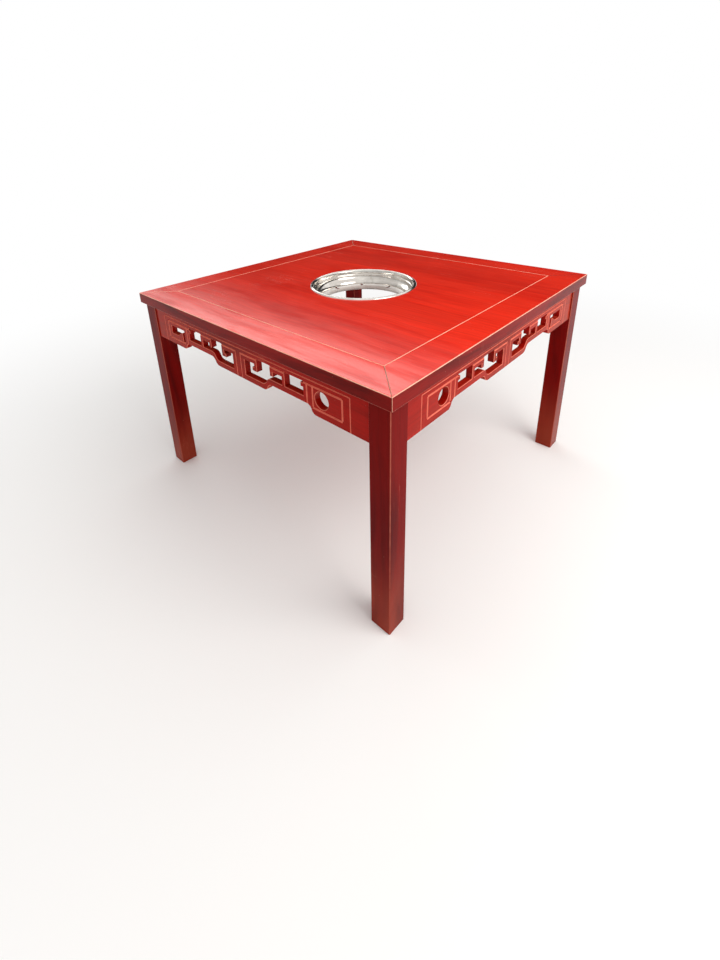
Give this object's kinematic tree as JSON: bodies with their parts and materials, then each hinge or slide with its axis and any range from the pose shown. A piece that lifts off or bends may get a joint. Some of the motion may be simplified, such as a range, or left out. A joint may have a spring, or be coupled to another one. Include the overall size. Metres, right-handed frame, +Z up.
{
  "type": "chinese eight immortals table",
  "caption": "Square red-lacquered dining table with a mitred frame-and-panel top, openwork fret aprons, plain square legs and a drop-in steel hot-pot ring in the middle.",
  "frame": {"origin": "on the floor under the middle of the square top", "axes": "+Z up; -Y is the front edge, along the panel's grain; +X is the right-hand edge"},
  "size_m": [1.2, 1.2, 0.7545],
  "materials": {
    "red_lacquer_top": "glossy red lacquer over straight-grained wood",
    "red_lacquer_base": "glossy dark red lacquer over wood",
    "plain_wood": "thinly stained wood on the underside",
    "polished_steel": "polished stainless steel sheet"
  },
  "bodies": {
    "table": {"apron_back": "red_lacquer_base", "apron_front": "red_lacquer_base", "apron_left": "red_lacquer_base", "apron_right": "red_lacquer_base", "batten_left": "plain_wood", "batten_right": "plain_wood", "leg_back_left": "red_lacquer_base", "leg_back_right": "red_lacquer_base", "leg_front_left": "red_lacquer_base", "leg_front_right": "red_lacquer_base", "panel_board_1": "red_lacquer_top", "panel_board_2": "red_lacquer_top", "panel_board_3": "red_lacquer_top", "panel_board_4_left": "red_lacquer_top", "panel_board_4_right": "red_lacquer_top", "panel_board_5": "red_lacquer_top", "panel_board_6": "red_lacquer_top", "panel_board_7": "red_lacquer_top", "top_frame_back": "red_lacquer_top", "top_frame_front": "red_lacquer_top", "top_frame_left": "red_lacquer_top", "top_frame_right": "red_lacquer_top"},
    "ring": {"pot_ring": "polished_steel"}
  },
  "joints": [
    {"name": "ring_lift", "type": "slide", "parent": "table", "child": "ring", "axis": [0, 0, 1], "range_m": [0, 0.1]}
  ]
}
